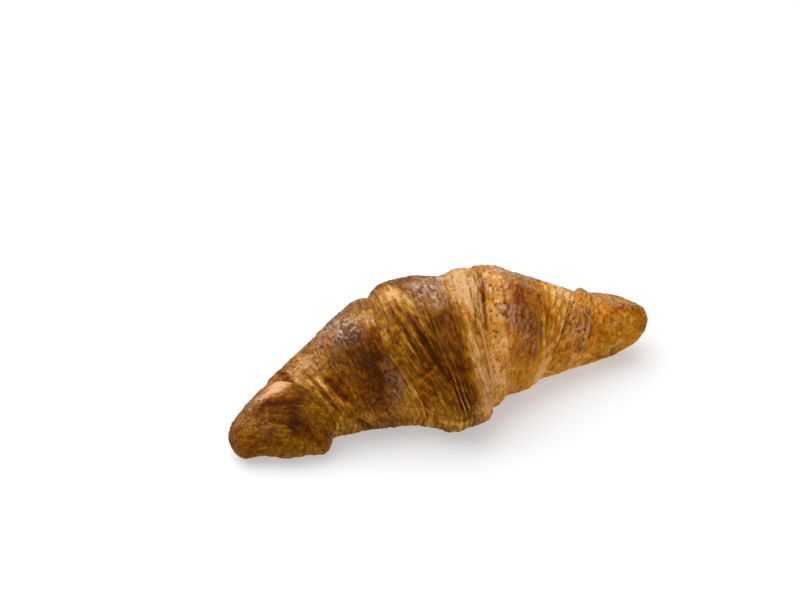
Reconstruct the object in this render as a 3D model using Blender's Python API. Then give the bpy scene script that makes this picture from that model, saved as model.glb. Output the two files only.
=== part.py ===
"""Butter croissant: one rolled and baked piece of laminated dough that rests on its flat underside.

The roll lies along X with its near tip at -X. Its skin is a tube of oval sections. Seams run round the tube
where one wrap of dough ends on the next, and each wrap swells to a crown between two seams.
"""

import math
from collections import namedtuple

import bmesh
import bpy
import numpy as np

MM = 0.001

# Overall sizes, in millimetres
LENGTH = 165.0
HEIGHT_TO_WIDTH = 0.82
FLAT_SHARE = 0.18

# Rounding of the two tips, their height over the rest plane, and the upward curl at the end of the far one
NEAR_CAP_START = 0.95
FAR_CAP_START = 0.9
NEAR_TIP_LIFT = 1.8
FAR_TIP_LIFT = 5.2
TIP_LIFT_START = 0.6
FAR_CURL = 4.5
FAR_CURL_START = 0.84

# Half width of the skin at stations from the near tip (-1) over the middle (0) to the far tip (+1)
Station = namedtuple("Station", "along half_width")
NEAR_NOSE = Station(-0.97, 7.6)
NEAR_KNOB = Station(-0.85, 11.4)
NEAR_NECK = Station(-0.70, 15.5)
NEAR_FLANK = Station(-0.50, 19.8)
NEAR_SHOULDER = Station(-0.35, 23.1)
NEAR_BELLY = Station(-0.20, 27.1)
MIDDLE = Station(0.0, 27.4)
FAR_BELLY = Station(0.20, 25.3)
FAR_SHOULDER = Station(0.35, 26.5)
FAR_FLANK = Station(0.50, 21.6)
FAR_NECK = Station(0.70, 16.9)
FAR_KNOB = Station(0.85, 12.4)
FAR_NOSE = Station(0.97, 8.8)
STATIONS = (NEAR_NOSE, NEAR_KNOB, NEAR_NECK, NEAR_FLANK, NEAR_SHOULDER, NEAR_BELLY, MIDDLE, FAR_BELLY,
            FAR_SHOULDER, FAR_FLANK, FAR_NECK, FAR_KNOB, FAR_NOSE)

# Sideways course of the roll's middle line: the tips and the middle wrap come forward
TIPS_FORWARD = 12.8
FAR_TIP_EXTRA = 3.6
MIDDLE_FORWARD = 13.3
MIDDLE_FORWARD_REACH = 0.203

# A line round the roll: how far along X it lies at the top, front, bottom and back, and how it leans between
Line = namedtuple("Line", "top front bottom back lean")
NEAR_TIP_SEAM = Line(-74.5, -60.0, -62.0, -76.0, 0.0)
NEAR_SEAM = Line(-58.0, -47.5, -49.0, -59.0, 1.5)
NEAR_CROWN_EDGE = Line(-46.5, -40.0, -41.0, -48.0, -2.0)
LEFT_SEAM = Line(-22.0, -17.5, -18.0, -14.0, -2.0)
MIDDLE_CROWN_LEFT = Line(-8.5, -5.5, -6.5, -10.0, -2.5)
MIDDLE_CROWN_RIGHT = Line(7.0, 3.5, 5.0, 9.0, -4.5)
RIGHT_SEAM = Line(20.5, 8.5, 10.0, 23.0, -2.0)
FAR_CROWN_EDGE = Line(43.5, 30.5, 31.5, 46.0, 1.0)
FAR_SEAM = Line(57.0, 38.5, 39.5, 59.5, 0.4)
FAR_TIP_SEAM = Line(63.5, 53.0, 53.5, 66.0, 1.0)

# Rise of the crowns over the smooth skin, and depth of the seams under it
NEAR_TIP_SEAM_DEPTH = 1.6
NEAR_CROWN_RISE = 1.3
NEAR_SEAM_DEPTH = 1.7
PALE_FACE_RISE = 0.6
DARK_CROWN_RISE = 1.6
LEFT_SEAM_DEPTH = 1.8
MIDDLE_LEFT_RISE = 1.6
MIDDLE_RIGHT_RISE = 2.2
RIGHT_SEAM_DEPTH = 1.6
FAR_CROWN_RISE = 0.9
FAR_CROWN_EDGE_RISE = 1.9
FAR_SEAM_DEPTH = 1.6
END_CROWN_RISE = 0.9
FAR_TIP_SEAM_DEPTH = 1.0
FAR_TIP_RISE = 0.8
FOLD_TURN = math.radians(20.0)

# Where a crown without a line of its own lies, as a share of the way from the line before it to the next one
NEAR_CROWN_SHARE = 0.55
DARK_CROWN_SHARE = 0.5
FAR_CROWN_SHARE = 0.4
END_CROWN_SHARE = 0.5
FAR_TIP_SHARE = 0.4

# Edges of the dough's sheets on the bare faces of the wraps: mean width that a sheet shows, height of its edge,
# share of its width over which the edge drops, share by which it wanders along X, and the least share of its
# height, the waves and the turn from sheet to sheet by which the edge comes and goes round the roll
SHEET_WIDTH = 2.4
SHEET_EDGE = 0.7
SHEET_DROP = 0.2
SHEET_WANDER = 0.17
SHEET_LEAST = 0.25
SHEET_WAVES = 3.0
SHEET_TURN = math.radians(137.5)

# Two places low on the front where the dough has swollen outwards
Swelling = namedtuple("Swelling", "rise along reach angle spread")
NEAR_FOOT = Swelling(4.6, -59.0, 11.6, 292.0, 40.0)
MIDDLE_FOOT = Swelling(2.5, -11.0, 8.0, 298.0, 38.0)

# The relief fades out towards the flat underside between these angles from straight down
RELIEF_FADE_START = 35.0
RELIEF_FADE_END = 65.0

# Facets
RING_SPACING = 1.8
TIP_RINGS = 3
FACETS_ROUND = 56

CRUST_COLOUR = (0.30, 0.125, 0.032, 1.0)
CRUST_ROUGHNESS = 0.45


def clear_scene():
    """Removes every object of the start scene."""
    for item in list(bpy.data.objects):
        bpy.data.objects.remove(item, do_unlink=True)


def ease(t):
    """Goes from 0 to 1 with a level start and end."""
    t = np.clip(t, 0.0, 1.0)
    return t * t * (3.0 - 2.0 * t)


def station_slopes(x, y):
    """Slopes at the stations that keep the curve between them free of overshoot."""
    step = np.diff(y) / np.diff(x)
    slope = np.zeros(len(x))
    same_way = step[:-1] * step[1:] > 0.0
    mean = 2.0 * step[:-1] * step[1:] / np.where(same_way, step[:-1] + step[1:], 1.0)
    slope[1:-1] = np.where(same_way, mean, 0.0)
    slope[0] = step[0]
    slope[-1] = step[-1]
    return slope


def half_width(s):
    """Half width of the smooth skin at the share s of the half length."""
    x = np.array([station.along for station in STATIONS])
    y = np.array([station.half_width for station in STATIONS])
    slope = station_slopes(x, y)
    s = np.clip(s, x[0], x[-1])
    i = np.clip(np.searchsorted(x, s, side="right") - 1, 0, len(x) - 2)
    span = x[i + 1] - x[i]
    t = (s - x[i]) / span
    start = (1.0 + 2.0 * t) * (1.0 - t) ** 2 * y[i] + t * (1.0 - t) ** 2 * span * slope[i]
    end = t * t * (3.0 - 2.0 * t) * y[i + 1] + t * t * (t - 1.0) * span * slope[i + 1]
    return start + end


def sway(s, angle):
    """Sideways place of the skin's sections, positive away from the front; the middle only swells forward."""
    bow = TIPS_FORWARD * s * s + FAR_TIP_EXTRA * s ** 3
    towards_front = 0.5 - 0.5 * np.sin(angle)
    return -bow - MIDDLE_FORWARD * towards_front * np.exp(-(s / MIDDLE_FORWARD_REACH) ** 2)


def line_at(line, angle):
    """Place along X of a line round the roll, at an angle counted from straight down over the back."""
    mean = (line.top + line.front + line.bottom + line.back) / 4.0
    upright = (line.bottom - line.top) / 2.0
    level = (line.back - line.front) / 2.0
    oval = ((line.top + line.bottom) - (line.front + line.back)) / 4.0
    turn = upright * np.cos(angle) + level * np.sin(angle)
    return mean + turn + oval * np.cos(2.0 * angle) + line.lean * np.sin(2.0 * angle)


def between(start, end, share):
    """Place at a share of the way from one line to another."""
    return start + (end - start) * share


# A mark: its place along X, its height over the skin, whether it is a seam, and where the sheets' edges look on
# the face after it: -1 to the near tip, 1 to the far tip, 0 where no bare sheets show
Mark = namedtuple("Mark", "place height seam edges")


def marks(angle):
    """The lines round the roll in order along X."""
    half = LENGTH / 2.0
    near_seam = line_at(NEAR_SEAM, angle)
    fold = line_at(NEAR_TIP_SEAM, angle)
    fold_depth = NEAR_TIP_SEAM_DEPTH * (0.5 - 0.5 * np.sin(angle + FOLD_TURN))
    near_edge = line_at(NEAR_CROWN_EDGE, angle)
    left_seam = line_at(LEFT_SEAM, angle)
    right_seam = line_at(RIGHT_SEAM, angle)
    far_edge = line_at(FAR_CROWN_EDGE, angle)
    far_seam = line_at(FAR_SEAM, angle)
    tip_seam = line_at(FAR_TIP_SEAM, angle)
    return [
        Mark(np.full_like(angle, -half), 0.0, False, 0),
        Mark(fold, -fold_depth, True, 0),
        Mark(between(fold, near_seam, NEAR_CROWN_SHARE), NEAR_CROWN_RISE, False, 0),
        Mark(near_seam, -NEAR_SEAM_DEPTH, True, -1),
        Mark(near_edge, PALE_FACE_RISE, False, 0),
        Mark(between(near_edge, left_seam, DARK_CROWN_SHARE), DARK_CROWN_RISE, False, 0),
        Mark(left_seam, -LEFT_SEAM_DEPTH, True, -1),
        Mark(line_at(MIDDLE_CROWN_LEFT, angle), MIDDLE_LEFT_RISE, False, 0),
        Mark(line_at(MIDDLE_CROWN_RIGHT, angle), MIDDLE_RIGHT_RISE, False, 1),
        Mark(right_seam, -RIGHT_SEAM_DEPTH, True, 0),
        Mark(between(right_seam, far_edge, FAR_CROWN_SHARE), FAR_CROWN_RISE, False, 0),
        Mark(far_edge, FAR_CROWN_EDGE_RISE, False, 1),
        Mark(far_seam, -FAR_SEAM_DEPTH, True, 0),
        Mark(between(far_seam, tip_seam, END_CROWN_SHARE), END_CROWN_RISE, False, 0),
        Mark(tip_seam, -FAR_TIP_SEAM_DEPTH, True, 0),
        Mark(between(tip_seam, half, FAR_TIP_SHARE), FAR_TIP_RISE, False, 0),
        Mark(np.full_like(angle, half), 0.0, False, 0),
    ]


def stretch(start, end, t):
    """Places along X and heights over the skin between two marks: sharp at a seam, round at a crown."""
    if start.seam:
        share = np.sin(t * math.pi / 2.0)
    elif end.seam:
        share = 1.0 - np.cos(t * math.pi / 2.0)
    else:
        share = ease(t)
    return between(start.place, end.place, t), between(start.height, end.height, share)


def wander(k, count, angle):
    """How far the boundary after k sheets wanders, in sheets; the first and the last one are marks and stay."""
    if k in (0, count):
        return np.zeros_like(angle)
    return SHEET_WANDER * np.sin(2.0 * angle + k * SHEET_TURN)


def sheet_steps(start, end, angle):
    """Shares of the way between two marks and heights of the edges: two rings a sheet, its edge and its foot."""
    count = max(2, round(float(np.mean(end.place - start.place)) / SHEET_WIDTH))
    found = []
    for k in range(count):
        wave = 0.5 + 0.5 * np.sin(SHEET_WAVES * angle + k * SHEET_TURN)
        edge = SHEET_EDGE * between(SHEET_LEAST, 1.0, wave)
        if start.edges < 0:
            place = k + SHEET_DROP + wander(k, count, angle)
        else:
            place = k + 1.0 - SHEET_DROP + wander(k + 1, count, angle)
        found.append((place / count, edge))
        found.append(((k + 1.0 + wander(k + 1, count, angle)) / count, 0.0))
    return found


def swelling(x, angle, spot):
    """Height of one swelling over the skin."""
    turn = (angle - math.radians(spot.angle) + math.pi) % (2.0 * math.pi) - math.pi
    across = np.exp(-((x - spot.along) / spot.reach) ** 4)
    return spot.rise * across * np.exp(-(turn / math.radians(spot.spread)) ** 2)


def relief(x, angle, wraps):
    """Whole relief over the smooth skin, faded out on the flat underside."""
    height = wraps + swelling(x, angle, NEAR_FOOT) + swelling(x, angle, MIDDLE_FOOT)
    from_down = np.abs((angle + math.pi) % (2.0 * math.pi) - math.pi)
    fade = ease((from_down - math.radians(RELIEF_FADE_START))
                / math.radians(RELIEF_FADE_END - RELIEF_FADE_START))
    return height * fade


def skin(x, angle, wraps):
    """Points of the crust, in millimetres, at places x along the roll and angles round it."""
    s = x / (LENGTH / 2.0)
    width = half_width(s)
    reach = np.abs(s)
    start = np.where(s > 0.0, FAR_CAP_START, NEAR_CAP_START)
    cap = np.sqrt(np.clip(1.0 - (np.clip(reach - start, 0.0, 1.0) / (1.0 - start)) ** 2, 0.0, 1.0))
    rise = relief(x, angle, wraps)
    tip_lift = np.where(s > 0.0, FAR_TIP_LIFT, NEAR_TIP_LIFT)
    lift = tip_lift * ease((reach - TIP_LIFT_START) / (1.0 - TIP_LIFT_START))
    curl = FAR_CURL * np.clip((s - FAR_CURL_START) / (1.0 - FAR_CURL_START), 0.0, 1.0) ** 2
    centre = width * HEIGHT_TO_WIDTH * (1.0 - FLAT_SHARE) + lift + curl
    y = sway(s, angle) + (width + rise) * cap * np.sin(angle)
    z = centre - (width * HEIGHT_TO_WIDTH + rise) * cap * np.cos(angle)
    return np.stack([x, y, np.maximum(z, 0.0)], axis=-1)


def rings(facets):
    """Closed rings of points from the near tip to the far tip; rings lie exactly on the seams and crowns."""
    angle = np.arange(facets) * 2.0 * math.pi / facets
    lines = marks(angle)
    last = len(lines) - 2
    found = []
    for i, (start, end) in enumerate(zip(lines[:-1], lines[1:])):
        count = max(2, round(float(np.mean(end.place - start.place)) / RING_SPACING))
        if i in (0, last):
            count += TIP_RINGS
        steps = [(k / count, 0.0) for k in range(1, count + 1)]
        if i == 0:
            steps = [(1.0 - math.cos(t * math.pi / 2.0), edge) for t, edge in steps]
        if i == last:
            steps = [(math.sin(t * math.pi / 2.0), edge) for t, edge in steps]
        if start.edges:
            steps = sheet_steps(start, end, angle)
        for t, edge in steps:
            x, wraps = stretch(start, end, t)
            found.append(skin(x, angle, wraps + edge))
    return found[:-1]


def croissant_mesh():
    """Closed skin of the croissant, with a point at each tip, its box centred over the origin."""
    hoops = rings(FACETS_ROUND)
    straight_up = np.array([math.pi])
    half = LENGTH / 2.0
    near = skin(np.array([-half]), straight_up, 0.0)
    far = skin(np.array([half]), straight_up, 0.0)
    points = np.concatenate(hoops + [near, far])
    points[:, 0] -= (points[:, 0].min() + points[:, 0].max()) / 2.0
    points[:, 1] -= (points[:, 1].min() + points[:, 1].max()) / 2.0
    points[:, 2] -= points[:, 2].min()
    form = bmesh.new()
    verts = [form.verts.new(point) for point in points * MM]
    last = (len(hoops) - 1) * FACETS_ROUND
    near_tip = verts[last + FACETS_ROUND]
    far_tip = verts[last + FACETS_ROUND + 1]
    for j in range(FACETS_ROUND):
        k = (j + 1) % FACETS_ROUND
        form.faces.new((near_tip, verts[j], verts[k]))
        form.faces.new((far_tip, verts[last + k], verts[last + j]))
        for here in range(0, last, FACETS_ROUND):
            there = here + FACETS_ROUND
            form.faces.new((verts[here + j], verts[there + j], verts[there + k], verts[here + k]))
    bmesh.ops.recalc_face_normals(form, faces=form.faces)
    bmesh.ops.triangulate(form, faces=form.faces)
    return form


def crust_material():
    """Egg-washed, well baked crust."""
    material = bpy.data.materials.new("baked_crust")
    material.use_nodes = True
    surface = material.node_tree.nodes["Principled BSDF"]
    surface.inputs["Base Color"].default_value = CRUST_COLOUR
    surface.inputs["Roughness"].default_value = CRUST_ROUGHNESS
    surface.inputs["Metallic"].default_value = 0.0
    return material


def build_croissant():
    """Adds the croissant to the scene."""
    form = croissant_mesh()
    mesh = bpy.data.meshes.new("croissant")
    form.to_mesh(mesh)
    form.free()
    mesh.materials.append(crust_material())
    item = bpy.data.objects.new("croissant", mesh)
    bpy.context.scene.collection.objects.link(item)
    return item


clear_scene()
build_croissant()
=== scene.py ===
"""Butter croissant: a straight roll of laminated dough, egg-washed and baked, on a pale table.

Seven wraps of dough follow each other along the roll. Each is a closed surface worked out on a grid, with
one parameter round the roll and one across the wrap. A wrap shows its browned crown and, where it ends on
its neighbour, the cut edges of its thin sheets. Its details are layers that are added up on the grid.

Lengths are in millimetres until a mesh is made. Angles round the roll count from straight down over the
back, so the top is at 180 degrees and the front at 270.
"""

import logging
import math
from dataclasses import dataclass
from enum import Enum

import bpy
import numpy as np
from mathutils import Matrix


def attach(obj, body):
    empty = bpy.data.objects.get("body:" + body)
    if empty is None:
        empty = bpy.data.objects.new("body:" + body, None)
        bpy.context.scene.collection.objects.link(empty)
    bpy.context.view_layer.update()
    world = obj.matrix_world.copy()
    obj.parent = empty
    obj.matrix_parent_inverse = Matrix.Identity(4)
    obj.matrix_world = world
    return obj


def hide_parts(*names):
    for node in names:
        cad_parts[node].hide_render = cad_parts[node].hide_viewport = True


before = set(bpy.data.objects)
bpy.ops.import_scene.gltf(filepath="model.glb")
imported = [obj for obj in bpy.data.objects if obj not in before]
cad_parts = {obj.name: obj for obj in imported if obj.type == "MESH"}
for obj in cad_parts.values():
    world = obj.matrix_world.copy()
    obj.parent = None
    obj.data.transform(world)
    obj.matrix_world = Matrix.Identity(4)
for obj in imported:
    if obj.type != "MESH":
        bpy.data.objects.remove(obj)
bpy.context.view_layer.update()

LOG = logging.getLogger("croissant")

MM = 0.001
TURN = 2.0 * math.pi
BODY = "root"
CAD_NODE = "croissant"
COLUMNS = 440
# Radii of the circles on which the material's grain and the lips' raggedness go round the roll
GRAIN_RADIUS = 4.0
LIP_RADIUS = 6.0
# Distance over which a lip's edge is rounded, and the share of its height that the edge starts with
LIP_EDGE = 0.5
LIP_EDGE_SHARE = 0.25
# Share of a lip's height that is always there, and by how much noise makes it ragged
LIP_MEAN = 0.75
LIP_SWING = 0.55
# Factor that keeps the random numbers of neighbouring sheets apart
FAR_APART = 5.37
# A foot's hidden rings: step outwards, and share of the section
FOOT_RINGS = ((0.12, 0.992), (0.05, 0.972), (-0.4, 0.95), (-1.6, 0.88))
# A tucked end's hidden rings, as shares of its length
TUCK_RINGS = (0.1, 0.25, 0.4, 0.6, 0.8, 1.0)


class Facing(Enum):
    """Which way the sheets' edges look on a wrap."""

    NEAR = "to the near tip"
    FAR = "to the far tip"
    BOTH = "away from the crown between them"


class Side(Enum):
    """How a wrap ends towards one tip of the roll."""

    TIP = "rounded tip of the roll"
    FOOT = "edge that lies on the neighbour"
    TUCK = "goes on under the neighbour"


def ease(t: np.ndarray) -> np.ndarray:
    """Goes from 0 to 1 with a level start and end: 3 t squared minus 2 t cubed."""
    t = np.clip(t, 0.0, 1.0)
    return t * t * (3.0 - 2.0 * t)


def slow_start(t: np.ndarray) -> np.ndarray:
    """Goes from 0 to 1 with a level start: 1 minus a quarter cosine."""
    return 1.0 - np.cos(t * math.pi / 2.0)


def fast_start(t: np.ndarray) -> np.ndarray:
    """Goes from 0 to 1 with a level end: a quarter sine."""
    return np.sin(t * math.pi / 2.0)


def bell(t: np.ndarray) -> np.ndarray:
    """Goes from 1 at 0 down to 0 on both sides: e to the power of minus t squared."""
    return np.exp(-t ** 2)


def turn_from(angle: np.ndarray, degrees: float) -> np.ndarray:
    """Turn to each angle from one that is given in degrees, from minus to plus half a turn."""
    return (angle - math.radians(degrees) + math.pi) % TURN - math.pi


def lattice(i: np.ndarray, j: np.ndarray, k: np.ndarray, seed: int) -> np.ndarray:
    """Random numbers from 0 to 1 at whole-number places: an integer hash of the counts and the seed.

    Args:
        i: Counts along the first axis.
        j: Counts along the second axis.
        k: Counts along the third axis.
        seed: Chooses the numbers.

    Returns:
        One number for each place.
    """
    low_bits = 0xFFFFFFFF
    mixed = ((i * 73856093) ^ (j * 19349663) ^ (k * 83492791) ^ (seed * 50331653)) & low_bits
    mixed = ((mixed ^ (mixed >> 16)) * 0x45D9F3B) & low_bits
    mixed = ((mixed ^ (mixed >> 16)) * 0x45D9F3B) & low_bits
    return (mixed ^ (mixed >> 16)) / low_bits


def noise(points: np.ndarray, seed: int) -> np.ndarray:
    """Smooth random field from -1 to 1.

    The numbers at the eight lattice corners round a point are blended by a quintic ease along each axis.

    Args:
        points: Places, with three numbers on the last axis; one unit is one lattice cell.
        seed: Chooses the field.

    Returns:
        One number for each place.
    """
    base = np.floor(points)
    part = points - base
    part = part * part * part * (part * (part * 6.0 - 15.0) + 10.0)
    base = base.astype(np.int64)
    total = np.zeros(points.shape[:-1])
    for corner in np.ndindex(2, 2, 2):
        weight = np.ones(points.shape[:-1])
        for axis, up in enumerate(corner):
            weight = weight * (part[..., axis] if up else 1.0 - part[..., axis])
        place = base + np.array(corner)
        total += weight * lattice(place[..., 0], place[..., 1], place[..., 2], seed)
    return total * 2.0 - 1.0


def layered_noise(points: np.ndarray, seed: int, octaves: int) -> np.ndarray:
    """Sum of noise fields, each twice as fine and half as strong as the one before, scaled back to about 1.

    Args:
        points: Places, with three numbers on the last axis; one unit is one cell of the widest field.
        seed: Chooses the fields.
        octaves: How many fields there are.

    Returns:
        One number for each place.
    """
    total = np.zeros(points.shape[:-1])
    strength = 1.0
    whole = 0.0
    for octave in range(octaves):
        total += strength * noise(points * 2.0 ** octave, seed + octave)
        whole += strength
        strength *= 0.5
    return total / whole


def cells(points: np.ndarray, seed: int) -> tuple[np.ndarray, np.ndarray, np.ndarray]:
    """Distances to the nearest of a jittered lattice of spots.

    Args:
        points: Places, with three numbers on the last axis; one unit is the mean spacing of the spots.
        seed: Chooses the spots.

    Returns:
        The distance to the nearest spot, how much further the next one is, and a number from 0 to 1 that is
        the same over the whole cell.
    """
    base = np.floor(points).astype(np.int64)
    nearest = np.full(points.shape[:-1], 9.0)
    second = np.full(points.shape[:-1], 9.0)
    owner = np.zeros(points.shape[:-1])
    for step in np.ndindex(3, 3, 3):
        cell = base + np.array(step) - 1
        i, j, k = cell[..., 0], cell[..., 1], cell[..., 2]
        spot = np.stack([i + lattice(i, j, k, seed), j + lattice(i, j, k, seed + 1),
                         k + lattice(i, j, k, seed + 2)], axis=-1)
        distance = np.linalg.norm(points - spot, axis=-1)
        closer = distance < nearest
        second = np.where(closer, nearest, np.minimum(second, distance))
        nearest = np.where(closer, distance, nearest)
        owner = np.where(closer, lattice(i, j, k, seed + 3), owner)
    return nearest, second - nearest, owner


def round_roll(first: np.ndarray, angle: np.ndarray, radius: float) -> np.ndarray:
    """Places for a pattern that closes round the roll: a first number, then a circle of the radius."""
    return np.stack([first, radius * np.cos(angle), radius * np.sin(angle)], axis=-1)


@dataclass(frozen=True)
class Station:
    """Half width of the smooth form at one place between the near tip (-1) and the far tip (+1)."""

    along: float
    half_width: float


@dataclass(frozen=True)
class Line:
    """A line round the roll: its place along the roll at the top, front, bottom and back, and its lean."""

    top: float
    front: float
    bottom: float
    back: float
    lean: float

    def at(self, angle: np.ndarray) -> np.ndarray:
        """Place along the roll: the mean, plus one and two waves round it that pass the four places.

        Args:
            angle: Angles round the roll.

        Returns:
            The line's place at each angle.
        """
        mean = (self.top + self.front + self.bottom + self.back) / 4.0
        upright = (self.bottom - self.top) / 2.0
        level = (self.back - self.front) / 2.0
        oval = ((self.top + self.bottom) - (self.front + self.back)) / 4.0
        turn = upright * np.cos(angle) + level * np.sin(angle)
        return mean + turn + oval * np.cos(2.0 * angle) + self.lean * np.sin(2.0 * angle)


NEAR_TIP_SEAM = Line(-74.5, -60.0, -62.0, -76.0, 0.0)
NEAR_SEAM = Line(-58.0, -47.5, -49.0, -59.0, 1.5)
NEAR_CROWN_EDGE = Line(-46.5, -40.0, -41.0, -48.0, -2.0)
LEFT_SEAM = Line(-22.0, -17.5, -18.0, -14.0, -2.0)
MIDDLE_CROWN_LEFT = Line(-8.5, -5.5, -6.5, -10.0, -2.5)
MIDDLE_CROWN_RIGHT = Line(7.0, 3.5, 5.0, 9.0, -4.5)
RIGHT_SEAM = Line(20.5, 8.5, 10.0, 23.0, -2.0)
FAR_CROWN_EDGE = Line(43.5, 30.5, 31.5, 46.0, 1.0)
FAR_SEAM = Line(57.0, 38.5, 39.5, 59.5, 0.4)
FAR_TIP_SEAM = Line(63.5, 53.0, 53.5, 66.0, 1.0)


@dataclass(frozen=True)
class Course:
    """A value that changes round the roll: a share of it over the back, all of it, then a share at the foot.

    Attributes:
        full: The whole value.
        back_share: Share of it over the back, up to back_end.
        back_end: Angle where it starts to grow.
        back_reach: Angle that it takes to grow.
        foot_share: Share of it low on the front.
        foot_start: Angle where it starts to fade.
        foot_reach: Angle that it takes to fade.
    """

    full: float
    back_share: float = 1.0
    back_end: float = 212.0
    back_reach: float = 34.0
    foot_share: float = 1.0
    foot_start: float = 255.0
    foot_reach: float = 30.0

    def at(self, angle: np.ndarray) -> np.ndarray:
        """The whole value, times an ease up from the back's share, times an ease down to the foot's.

        Args:
            angle: Angles round the roll.

        Returns:
            The value at each angle.
        """
        degrees = np.degrees(angle)
        grown = self.back_share + (1.0 - self.back_share) * ease((degrees - self.back_end) / self.back_reach)
        faded = 1.0 - (1.0 - self.foot_share) * ease((degrees - self.foot_start) / self.foot_reach)
        return self.full * grown * faded


FOLD_DEPTH = Course(1.6, 0.1, 205.0, 30.0, 0.2, 256.0, 28.0)
NEAR_SEAM_DEPTH = Course(1.7, 0.15)
LEFT_SEAM_DEPTH = Course(1.8)
RIGHT_SEAM_DEPTH = Course(1.6, 0.15, 148.0, 16.0, 0.3, 203.0, 30.0)
FAR_SEAM_DEPTH = Course(1.6)
FAR_TIP_SEAM_DEPTH = Course(1.0, 0.3, 172.0, 30.0)


@dataclass(frozen=True)
class Swelling:
    """A place low on the front where the dough has swollen outwards."""

    rise: float
    along: float
    reach: float
    angle: float
    spread: float

    def height(self, x: np.ndarray, angle: np.ndarray) -> np.ndarray:
        """Height over the skin: flat-topped along the roll, bell-shaped round it."""
        across = np.exp(-((x - self.along) / self.reach) ** 4)
        return self.rise * across * bell(turn_from(angle, self.angle) / math.radians(self.spread))


@dataclass(frozen=True)
class Roll:
    """The smooth form that all wraps share: a tube of oval sections with a flat underside."""

    half_length: float = 82.5
    height_to_width: float = 0.82
    flat_share: float = 0.18
    near_cap_start: float = 0.95
    far_cap_start: float = 0.9
    near_tip_lift: float = 1.8
    far_tip_lift: float = 5.2
    tip_lift_start: float = 0.6
    far_curl: float = 4.5
    far_curl_start: float = 0.84
    tips_forward: float = 12.8
    far_tip_extra: float = 3.6
    middle_forward: float = 13.3
    middle_forward_reach: float = 0.203
    centring: float = 6.71
    fade_start: float = 35.0
    fade_end: float = 65.0
    stations: tuple[Station, ...] = (
        Station(-0.97, 7.6), Station(-0.85, 11.4), Station(-0.70, 15.5), Station(-0.50, 19.8),
        Station(-0.35, 23.1), Station(-0.20, 27.1), Station(0.0, 27.4), Station(0.20, 25.3),
        Station(0.35, 26.5), Station(0.50, 21.6), Station(0.70, 16.9), Station(0.85, 12.4),
        Station(0.97, 8.8))
    swellings: tuple[Swelling, ...] = (
        Swelling(4.6, -59.0, 11.6, 292.0, 40.0), Swelling(2.5, -11.0, 8.0, 298.0, 38.0))

    def half_width(self, s: np.ndarray) -> np.ndarray:
        """Half width at the share s of the half length.

        Between two stations it is a cubic. Its slope at a station is the harmonic mean of the straight
        slopes on both sides, or level where they differ in sign, so it never overshoots.

        Args:
            s: Places from -1 at the near tip to 1 at the far tip.

        Returns:
            Half width at each place.
        """
        x = np.array([station.along for station in self.stations])
        y = np.array([station.half_width for station in self.stations])
        step = np.diff(y) / np.diff(x)
        same_way = step[:-1] * step[1:] > 0.0
        mean = 2.0 * step[:-1] * step[1:] / np.where(same_way, step[:-1] + step[1:], 1.0)
        slope = np.concatenate([step[:1], np.where(same_way, mean, 0.0), step[-1:]])
        s = np.clip(s, x[0], x[-1])
        i = np.clip(np.searchsorted(x, s, side="right") - 1, 0, len(x) - 2)
        span = x[i + 1] - x[i]
        t = (s - x[i]) / span
        start = (1.0 + 2.0 * t) * (1.0 - t) ** 2 * y[i] + t * (1.0 - t) ** 2 * span * slope[i]
        end = t * t * (3.0 - 2.0 * t) * y[i + 1] + t * t * (t - 1.0) * span * slope[i + 1]
        return start + end

    def middle_line(self, x: np.ndarray, angle: np.ndarray) -> np.ndarray:
        """Sideways place of the sections.

        The tips come forward by the square and the cube of the way along, and the front of the middle swells
        forward as a bell.

        Args:
            x: Places along the roll.
            angle: Angles round it.

        Returns:
            Place along Y.
        """
        s = x / self.half_length
        bow = self.tips_forward * s * s + self.far_tip_extra * s ** 3
        forward_share = 0.5 - 0.5 * np.sin(angle)
        swell = self.middle_forward * forward_share * bell(s / self.middle_forward_reach)
        return self.centring - bow - swell

    def centre_height(self, x: np.ndarray) -> np.ndarray:
        """Height of the centre: half height less the flat share, the tips' lift and the far tip's curl.

        Args:
            x: Places along the roll.

        Returns:
            Height over the table of the oval's centre at each place.
        """
        s = x / self.half_length
        tip_lift = np.where(s > 0.0, self.far_tip_lift, self.near_tip_lift)
        lift = tip_lift * ease((np.abs(s) - self.tip_lift_start) / (1.0 - self.tip_lift_start))
        curled = np.clip((s - self.far_curl_start) / (1.0 - self.far_curl_start), 0.0, 1.0)
        half_height = self.half_width(s) * self.height_to_width
        return half_height * (1.0 - self.flat_share) + lift + self.far_curl * curled ** 2

    def relief_share(self, angle: np.ndarray) -> np.ndarray:
        """Share of the relief that is left at an angle: none straight down, all of it up the sides."""
        from_down = np.degrees(np.abs(turn_from(angle, 0.0)))
        return ease((from_down - self.fade_start) / (self.fade_end - self.fade_start))

    def skin(self, x: np.ndarray, angle: np.ndarray, height: np.ndarray) -> np.ndarray:
        """Points of the crust.

        Each section is an oval round the middle line: half width plus relief to the sides, that width times
        the height share plus relief up and down, both closed off by a quarter ellipse at the tips, and cut
        flat at the table.

        Args:
            x: Places along the roll.
            angle: Angles round it, from straight down over the back.
            height: Relief over the smooth form.

        Returns:
            Points with x, y and z on the last axis.
        """
        s = x / self.half_length
        width = self.half_width(s)
        start = np.where(s > 0.0, self.far_cap_start, self.near_cap_start)
        inside = np.clip(np.abs(s) - start, 0.0, 1.0) / (1.0 - start)
        cap = np.sqrt(np.clip(1.0 - inside ** 2, 0.0, 1.0))
        swollen = sum(swelling.height(x, angle) for swelling in self.swellings)
        rise = (height + swollen) * self.relief_share(angle)
        y = self.middle_line(x, angle) + (width + rise) * cap * np.sin(angle)
        z = self.centre_height(x) - (width * self.height_to_width + rise) * cap * np.cos(angle)
        return np.stack([x, y, np.maximum(z, 0.0)], axis=-1)

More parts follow.
